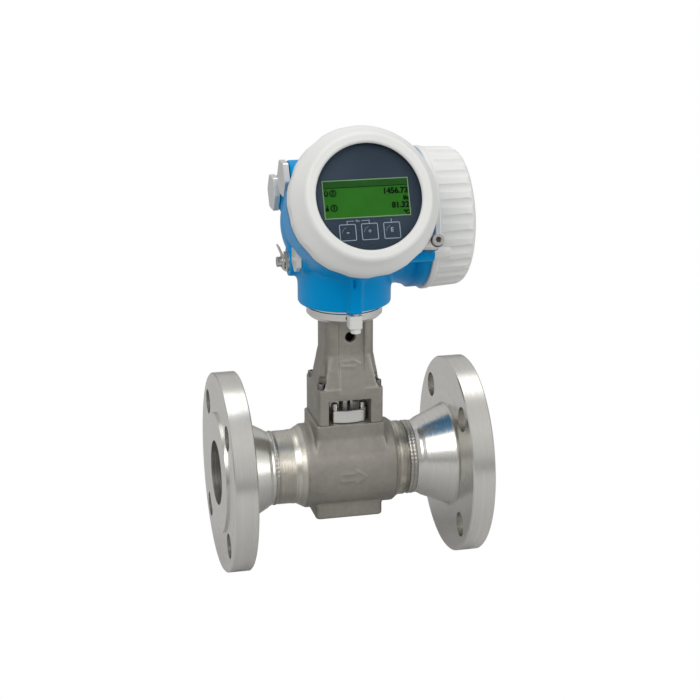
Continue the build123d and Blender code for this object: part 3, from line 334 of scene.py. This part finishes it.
def flat_piece(name, polys, matrix, material, body, thick=0.04):
    """Thin raised print: polygons in mm in the plane of matrix."""
    bm = bmesh.new()
    for poly in polys:
        bottom = [bm.verts.new((x * MM, y * MM, 0)) for x, y in poly]
        f = bm.faces.new(bottom)
        r = bmesh.ops.extrude_face_region(bm, geom=[f])
        bmesh.ops.translate(bm, vec=(0, 0, thick * MM), verts=[v for v in r["geom"] if isinstance(v, bmesh.types.BMVert)])
    bmesh.ops.recalc_face_normals(bm, faces=bm.faces)
    me = bpy.data.meshes.new(name)
    bm.to_mesh(me)
    bm.free()
    me.transform(matrix)
    me.materials.append(material)
    o = link(bpy.data.objects.new(name, me))
    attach(o, body)
    return o


def rect(x0, y0, x1, y1):
    return [(x0, y0), (x1, y0), (x1, y1), (x0, y1)]


def frame_of(x0, y0, x1, y1, w):
    return [rect(x0, y0, x1, y0 + w), rect(x0, y1 - w, x1, y1), rect(x0, y0 + w, x0 + w, y1 - w), rect(x1 - w, y0 + w, x1, y1 - w)]


def words(name, body_text, size, x, up, s, material, align="RIGHT", bold=0.0, squeeze=1.0):
    c = bpy.data.curves.new(name, "FONT")
    c.body = body_text
    c.size = size * MM
    c.align_x = align
    c.align_y = "CENTER"
    c.offset = bold * MM
    c.extrude = 0.015 * MM
    c.resolution_u = 4
    tmp = link(bpy.data.objects.new(name + "_tmp", c))
    dg = bpy.context.evaluated_depsgraph_get()
    me = bpy.data.meshes.new_from_object(tmp.evaluated_get(dg))
    bpy.data.objects.remove(tmp)
    me.transform(Matrix.Diagonal((squeeze, 1, 1, 1)))
    me.transform(disp_matrix(x, up, s))
    me.materials.clear()
    me.materials.append(material)
    o = link(bpy.data.objects.new(name, me))
    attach(o, "head")
    return o


SCREEN_TOP = 79.3
LX0, LX1, LY0, LY1 = -31.9, 30.1, -13.9, 13.3
INK_AT = SCREEN_TOP + 0.06
top = disp_matrix(0, 0, SCREEN_TOP + 0.01)
flat_piece("lcd_border", frame_of(LX0, LY0, LX1, LY1, 0.6), top, lcd_rim, "head", 0.08)
flat_piece("lcd_header", [rect(LX0 + 0.6, 8.1, LX1 - 0.6, LY1 - 0.6)], top, lcd_header, "head", 0.03)
flat_piece("lcd_header_line", [rect(LX0 + 0.6, 7.65, LX1 - 0.6, 8.15)], top, ink, "head", 0.05)
words("value_flow", "1456.73", 5.7, 29.5, 4.0, INK_AT, ink, "RIGHT", 0.27)
words("unit_flow", "l/s", 4.2, 29.3, -1.4, INK_AT, ink, "RIGHT", 0.30)
words("value_temperature", "81.32", 5.7, 29.5, -6.3, INK_AT, ink, "RIGHT", 0.27)
words("unit_temperature", "\u00b0C", 4.0, 29.3, -11.6, INK_AT, ink, "RIGHT", 0.30)


def ring_poly(cx, cy, r, w, n=28, start=0.0, turn=1.0):
    """Ring, or part of one, as quads."""
    out = []
    for i in range(n):
        a0 = start + 2 * math.pi * turn * i / n
        a1 = start + 2 * math.pi * turn * (i + 1) / n
        out.append([(cx + r * math.cos(a0), cy + r * math.sin(a0)), (cx + r * math.cos(a1), cy + r * math.sin(a1)),
                    (cx + (r - w) * math.cos(a1), cy + (r - w) * math.sin(a1)),
                    (cx + (r - w) * math.cos(a0), cy + (r - w) * math.sin(a0))])
    return out


def disc_poly(cx, cy, r, n=18):
    return [(cx + r * math.cos(2 * math.pi * i / n), cy + r * math.sin(2 * math.pi * i / n)) for i in range(n)]


flat_piece("channel_marks", ring_poly(-24.7, 4.2, 2.6, 0.85) + ring_poly(-24.7, -6.3, 2.6, 0.85), top, ink, "head", 0.06)
words("channel_one", "1", 3.2, -24.7, 4.2, INK_AT, ink, "CENTER", 0.34)
words("channel_two", "1", 3.2, -24.7, -6.3, INK_AT, ink, "CENTER", 0.34)
flat_piece("flow_mark", [rect(-31.1, 3.4, -30.1, 5.8), rect(-29.1, 3.4, -28.1, 5.8)]
           + ring_poly(-29.6, 3.5, 1.5, 1.0, 12, math.pi, 0.5) + [disc_poly(-29.65, 6.4, 0.55)], top, ink, "head", 0.06)
flat_piece("temperature_mark", [rect(-30.05, -6.6, -29.25, -4.0), rect(-29.0, -5.3, -28.4, -4.9)] + [disc_poly(-29.65, -7.2, 1.35)],
           top, ink, "head", 0.06)

PANEL = 79.4
pan = disp_matrix(0, 0, PANEL + 0.01)


def key_frame(cx, cy, half_w, half_h, r, w):
    """Outline of a key with rounded corners."""
    pts = []
    for sx, sy, a0 in ((1, 1, 0.0), (-1, 1, 0.5), (-1, -1, 1.0), (1, -1, 1.5)):
        for k in range(5):
            a = math.pi * (a0 + 0.5 * k / 4)
            pts.append((cx + sx * (half_w - r), cy + sy * (half_h - r), math.cos(a), math.sin(a)))
    out = []
    for i, (x, y, c, q) in enumerate(pts):
        x2, y2, c2, q2 = pts[(i + 1) % len(pts)]
        out.append([(x + r * c, y + r * q), (x2 + r * c2, y2 + r * q2),
                    (x2 + (r - w) * c2, y2 + (r - w) * q2), (x + (r - w) * c, y + (r - w) * q)])
    return out


polys = []
for cx in (-16.5, -0.7, 15.3):
    polys += key_frame(cx, -24.0, 6.0, 5.9, 1.1, 0.5)
    polys += ring_poly(cx + 0.4, -24.8, 4.6, 0.16, 8, math.radians(105), 0.2)
    polys += [rect(cx - 0.22, -18.1, cx + 0.22, -15.7)]
polys += [rect(-16.3, -16.2, -11.4, -15.85), rect(-6.2, -16.2, -0.9, -15.85)]
flat_piece("key_fields", polys, pan, key_print_painted_glow, "head")
words("key_minus", "-", 7.0, -16.5, -23.6, PANEL + 0.03, key_print_painted_glow, "CENTER", 0.06)
words("key_plus", "+", 5.6, -0.7, -23.9, PANEL + 0.03, key_print_painted_glow, "CENTER", -0.04)
words("key_enter", "E", 4.3, 15.3, -23.6, PANEL + 0.03, key_print_painted_glow, "CENTER", 0.06)
words("key_escape", "Esc", 2.2, -8.8, -16.0, PANEL + 0.03, key_print_painted_glow, "CENTER", 0.03)


# ------------------------------------------------------------------ cast surfaces
def arrays(me):
    n = len(me.vertices)
    co = np.empty(n * 3)
    me.vertices.foreach_get("co", co)
    ed = np.empty(len(me.edges) * 2, np.int64)
    me.edges.foreach_get("vertices", ed)
    return co.reshape(-1, 3), ed.reshape(-1, 2)


def normals(me, n):
    nr = np.empty(n * 3)
    me.vertices.foreach_get("normal", nr)
    return nr.reshape(-1, 3)


def smooth_mesh(me, plain, fill, keep, lam=0.5):
    """Round the edges a little, then fill the inside corners: keep() gives 0 where the surface stays as it is."""
    co, ed = arrays(me)
    n = len(co)
    deg = np.bincount(ed.ravel(), minlength=n).astype(float)[:, None]

    def lap(c):
        out = np.zeros_like(c)
        for k in range(3):
            out[:, k] = np.bincount(ed[:, 0], weights=c[ed[:, 1], k], minlength=n) + np.bincount(
                ed[:, 1], weights=c[ed[:, 0], k], minlength=n)
        return out / deg - c

    w = keep(co / MM)
    for _ in range(plain):
        co += lam * lap(co)
    me.vertices.foreach_set("co", co.ravel())
    me.update()
    nr = normals(me, n)
    for i in range(fill):
        grow = np.clip((lap(co) * nr).sum(1), 0, None) * w
        co += lam * grow[:, None] * nr
        if i % 10 == 9:
            me.vertices.foreach_set("co", co.ravel())
            me.update()
            nr = normals(me, n)
    me.vertices.foreach_set("co", co.ravel())
    me.update()


def through(o, kind, **values):
    """The object's mesh after one modifier."""
    mod = o.modifiers.new(kind.lower(), kind)
    for k, v in values.items():
        setattr(mod, k, v)
    dg = bpy.context.evaluated_depsgraph_get()
    me = bpy.data.meshes.new_from_object(o.evaluated_get(dg))
    o.modifiers.clear()
    o.data = me
    return me


def trim(me, cuts, outer):
    """Keep the part of the mesh behind all the cut planes, or with outer the parts in front of them."""
    if outer:
        bm = bmesh.new()
        for point, normal in cuts:
            one = bmesh.new()
            one.from_mesh(me)
            bmesh.ops.bisect_plane(one, geom=one.verts[:] + one.edges[:] + one.faces[:], dist=1e-7, plane_co=point,
                                   plane_no=normal, clear_inner=True)
            tmp = bpy.data.meshes.new("cut")
            one.to_mesh(tmp)
            one.free()
            bm.from_mesh(tmp)
            bpy.data.meshes.remove(tmp)
    else:
        bm = bmesh.new()
        bm.from_mesh(me)
        for point, normal in cuts:
            bmesh.ops.bisect_plane(bm, geom=bm.verts[:] + bm.edges[:] + bm.faces[:], dist=1e-7, plane_co=point,
                                   plane_no=normal, clear_outer=True)
    bm.to_mesh(me)
    bm.free()
    return me


def cast_skin(node, body, material, voxel, plain, fill, keep, ratio, cuts=()):
    """Casting with blended inside corners and softly rounded edges, crisp where it is machined."""
    src = nodes[node]
    me = src.data.copy()
    me.transform(src.matrix_world)
    bm = bmesh.new()
    bm.from_mesh(me)
    bmesh.ops.remove_doubles(bm, verts=bm.verts, dist=1e-6)
    bm.to_mesh(me)
    bm.free()
    o = link(bpy.data.objects.new(node + "_skin", me.copy()))
    through(o, "REMESH", mode="VOXEL", voxel_size=voxel * MM, adaptivity=0.0)
    smooth_mesh(o.data, plain, fill, keep)
    soft = through(o, "DECIMATE", ratio=ratio) if ratio < 1 else o.data
    if cuts:
        soft = trim(soft, cuts, False)
        crisp = trim(me, cuts, True)
        bm = bmesh.new()
        bm.from_mesh(soft)
        bm.from_mesh(crisp)
        bm.to_mesh(soft)
        bm.free()
    soft.materials.clear()
    soft.materials.append(material)
    soft.polygons.foreach_set("material_index", [0] * len(soft.polygons))
    soft.polygons.foreach_set("use_smooth", [True] * len(soft.polygons))
    soft.set_sharp_from_angle(angle=math.radians(38))
    soft.update()
    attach(o, body)
    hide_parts(node)
    return o


def fade(x, lo, hi):
    """0 at or below lo, 1 at or above hi."""
    return np.clip((x - lo) / (hi - lo), 0, 1)


def housing_keep(c):
    x, y, z = c[:, 0] - 100.0, c[:, 1], c[:, 2]
    s = -y * CT + (z - 192.66) * ST
    u = y * ST + (z - 192.66) * CT
    rd = np.hypot(x, u)
    rt = np.hypot(y - 20.0, z - 185.6)
    cap = np.where(x > 5.0, rt, np.sqrt((x - 5.0) ** 2 + rt ** 2))
    w = fade(-s, -40.5, -38.0) * fade(-x, -39.5, -37.0)
    w *= 1 - ((rd < np.where(s > 14.0, 47.4, 47.5 - (14.0 - s) * 0.243)) & (s > -12.5)) * 1.0
    w *= 1 - (cap < 47.0) * 1.0
    w *= 1 - ((np.hypot(x, y) < 33.6) & (z < 186.0)) * 1.0
    for px, py, pz, r in ((-45.2, 11.2, 222.9, 12.4), (-46.6, 43.1, 205.2, 12.4), (-41.0, -14.0, 168.7, 10.6), (-41.5, 8.0, 160.5, 9.9)):
        rr = np.hypot(y - py, z - pz)
        w *= 1 - ((rr < r) & (x < 0)) * 1.0
        w *= np.where(rr < r + 6.0, fade(x, px + 4.4, px + 7.0), 1.0)
    w *= 1 - ((np.abs(x + 1.2) < 2.4) & (z > 147.5) & (z < 158.0) & (y < -33.0)) * 1.0
    return w


def body_keep(c):
    x, y, z = c[:, 0] - 100.0, c[:, 1], c[:, 2]
    w = fade(np.hypot(y, z), 28.0, 29.0) * fade(38.6 - z, 0.3, 2.0) * fade(34.0 - np.abs(x), 0.0, 2.0)
    return w


def neck_keep(c):
    x, y, z = c[:, 0] - 100.0, c[:, 1], c[:, 2]
    w = fade(118.6 - z, 0.0, 1.5) * fade(z, 39.2, 40.2)
    for sx in (-1, 1):
        for sy in (-1, 1):
            w *= fade(np.hypot(x - sx * 21.6, y - sy * 16.0), 4.8, 6.2)
    return w


cast_skin("transmitter_housing", "head", blue_paint, 0.9, 4, 60, housing_keep, 0.42,
          [(disp(0, 0, 41.4), (0, -CT, ST)), (Vector((XM + 0.0404, 0, 0)), (1, 0, 0))])
cast_skin("meter_body", slot_body["meter_body"], body_steel, 0.6, 3, 14, body_keep, 0.45,
          [(Vector((XM + 0.0338, 0, 0)), (1, 0, 0)), (Vector((XM - 0.0338, 0, 0)), (-1, 0, 0))])
cast_skin("support_neck", slot_body["support_neck"], cast_steel, 0.5, 3, 14, neck_keep, 0.5)


# ------------------------------------------------------------------ weld beads
def weld(node, x0, x1, crowns, n_ripple, seed):
    """Bead whose crescent ripples run round the pipe: crowns gives each pass's width."""
    rows, around = 18, 540
    bm = bmesh.new()
    grid = []
    for j in range(rows + 1):
        t = j / rows
        pos = t * crowns % 1.0 if t < 1 else 1.0
        arch = math.sin(math.pi * pos) if 0 < t < 1 else 0.0
        ring = []
        for i in range(around):
            a = 2 * math.pi * i / around
            wave = math.sin(n_ripple * a + 1.9 * math.cos(math.pi * (pos - 0.5)) + 0.7 * math.sin(5 * a + seed))
            slow = 0.5 + 0.5 * math.sin(3 * a + seed) * math.sin(7 * a)
            r = 27.95 + 0.55 * arch + 0.14 * arch * wave + 0.06 * slow * arch
            x = x0 + (x1 - x0) * t + 0.08 * arch * math.sin(11 * a + seed)
            ring.append(bm.verts.new((x * MM, r * math.cos(a) * MM, r * math.sin(a) * MM)))
        grid.append(ring)
    inner = [[bm.verts.new((x * MM, 24.6 * math.cos(2 * math.pi * i / around) * MM, 24.6 * math.sin(2 * math.pi * i / around) * MM))
              for i in range(around)] for x in (x0, x1)]
    rings = [inner[0]] + grid + [inner[1]]
    for k in range(len(rings)):
        p, q = rings[k], rings[(k + 1) % len(rings)]
        for i in range(around):
            bm.faces.new((p[i], p[(i + 1) % around], q[(i + 1) % around], q[i]))
    bmesh.ops.recalc_face_normals(bm, faces=bm.faces)
    me = bpy.data.meshes.new(node + "_bead")
    bm.to_mesh(me)
    bm.free()
    me.materials.append(weld_steel)
    me.polygons.foreach_set("use_smooth", [True] * len(me.polygons))
    me.set_sharp_from_angle(angle=math.radians(50))
    o = link(bpy.data.objects.new(node + "_bead", me))
    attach(o, slot_body[node])
    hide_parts(node)
    return o


weld("inlet_weld", 41.0, 44.0, 1, 58, 0.4)
weld("outlet_weld", 146.2, 151.8, 2, 64, 1.7)

# ------------------------------------------------------------------ painted shade: clamp screw socket and the ring round its head
CLAMP_X, CLAMP_UP = 59.6 * 0.853, -59.6 * 0.522
# Dark disc in the clamp screw's hex socket: painted shade of the recess.
flat_piece("display_clamp_socket_shade", [disc_poly(CLAMP_X, CLAMP_UP, 1.97, 24)], disp_matrix(0, 0, 67.42), dark_steel,
           slot_body["display_clamp_screw"], 0.3)
# Dark ring round the clamp screw head: painted shadow of the gap between the head and the clamp.
flat_piece("display_clamp_shadow_ring", ring_poly(CLAMP_X, CLAMP_UP, 4.85, 0.52, 40), disp_matrix(0, 0, 66.01), dark_steel,
           slot_body["display_cover_clamp"], 0.04)

# ------------------------------------------------------------------ stage
bpy.ops.mesh.primitive_plane_add(size=60.0, location=(XM, 0, -0.0768))
floor = bpy.context.object
floor.name = "floor"
fm, nt, b = principled("floor", (0.55, 0.55, 0.55), 0.8, 0.0, 0.1)
glow = nt.nodes.new("ShaderNodeEmission")
glow.inputs["Color"].default_value = (1, 1, 1, 1)
seen = nt.nodes.new("ShaderNodeLightPath")
both = nt.nodes.new("ShaderNodeMixShader")
nt.links.new(seen.outputs["Is Camera Ray"], both.inputs[0])
nt.links.new(b.outputs[0], both.inputs[1])
nt.links.new(glow.outputs[0], both.inputs[2])
nt.links.new(both.outputs[0], nt.nodes["Material Output"].inputs["Surface"])
floor.data.materials.append(fm)

world = bpy.data.worlds.new("studio")
bpy.context.scene.world = world
world.use_nodes = True
wn = world.node_tree
bg = wn.nodes["Background"]
tc = wn.nodes.new("ShaderNodeTexCoord")
sep = wn.nodes.new("ShaderNodeSeparateXYZ")
wn.links.new(tc.outputs["Generated"], sep.inputs[0])
wr = wn.nodes.new("ShaderNodeValToRGB")
e = wr.color_ramp.elements
while len(e) < 5:
    e.new(0.5)
for i, (p, c) in enumerate([(0.0, 0.32), (0.40, 0.28), (0.50, 0.24), (0.62, 0.56), (1.0, 0.66)]):
    e[i].position = p
    e[i].color = (c, c, c, 1)
mr = wn.nodes.new("ShaderNodeMapRange")
mr.inputs["From Min"].default_value = -1.0
mr.inputs["From Max"].default_value = 1.0
wn.links.new(sep.outputs[2], mr.inputs["Value"])
wn.links.new(mr.outputs["Result"], wr.inputs["Fac"])
lp = wn.nodes.new("ShaderNodeLightPath")
mixw = wn.nodes.new("ShaderNodeMix")
mixw.data_type = "RGBA"
wn.links.new(lp.outputs["Is Camera Ray"], mixw.inputs["Factor"])
wn.links.new(wr.outputs["Color"], mixw.inputs[6])
mixw.inputs[7].default_value = (1.0, 1.0, 1.0, 1)
wn.links.new(mixw.outputs[2], bg.inputs["Color"])
bg.inputs["Strength"].default_value = 1.0


def softbox(name, place, aim, size, power, shape="RECTANGLE", size_y=None):
    l = bpy.data.lights.new(name, "AREA")
    l.shape = shape
    l.size = size
    if size_y:
        l.size_y = size_y
    l.energy = power
    o = link(bpy.data.objects.new(name, l))
    o.location = place
    o.rotation_euler = (Vector(aim) - Vector(place)).to_track_quat("-Z", "Y").to_euler()
    return o


AIM = (XM, 0, 0.09)
softbox("key_light", (-0.75, -1.15, 1.35), AIM, 1.1, 13, "RECTANGLE", 1.1)
softbox("fill_light", (1.5, -1.0, 0.7), AIM, 0.9, 9, "RECTANGLE", 1.4)
softbox("top_light", (0.1, 0.4, 1.7), AIM, 1.4, 6, "RECTANGLE", 1.0)

# ------------------------------------------------------------------ camera
cam = bpy.data.cameras.new("camera")
cam.sensor_width = 36.0
cam.lens = 95.765
cam.clip_end = 20
co = link(bpy.data.objects.new("camera", cam))
right = Vector((0.97288728, -0.23127978, 0.0))
up = Vector((0.07050177, 0.2965684, 0.95240574))
back = -Vector((0.22027219, 0.92658343, -0.30483326))
m = Matrix((right, up, back)).transposed().to_4x4()
m.translation = Vector((-0.206498, -1.308050, 0.520445))
co.matrix_world = m
bpy.context.scene.camera = co
bpy.context.scene.view_settings.view_transform = "Standard"
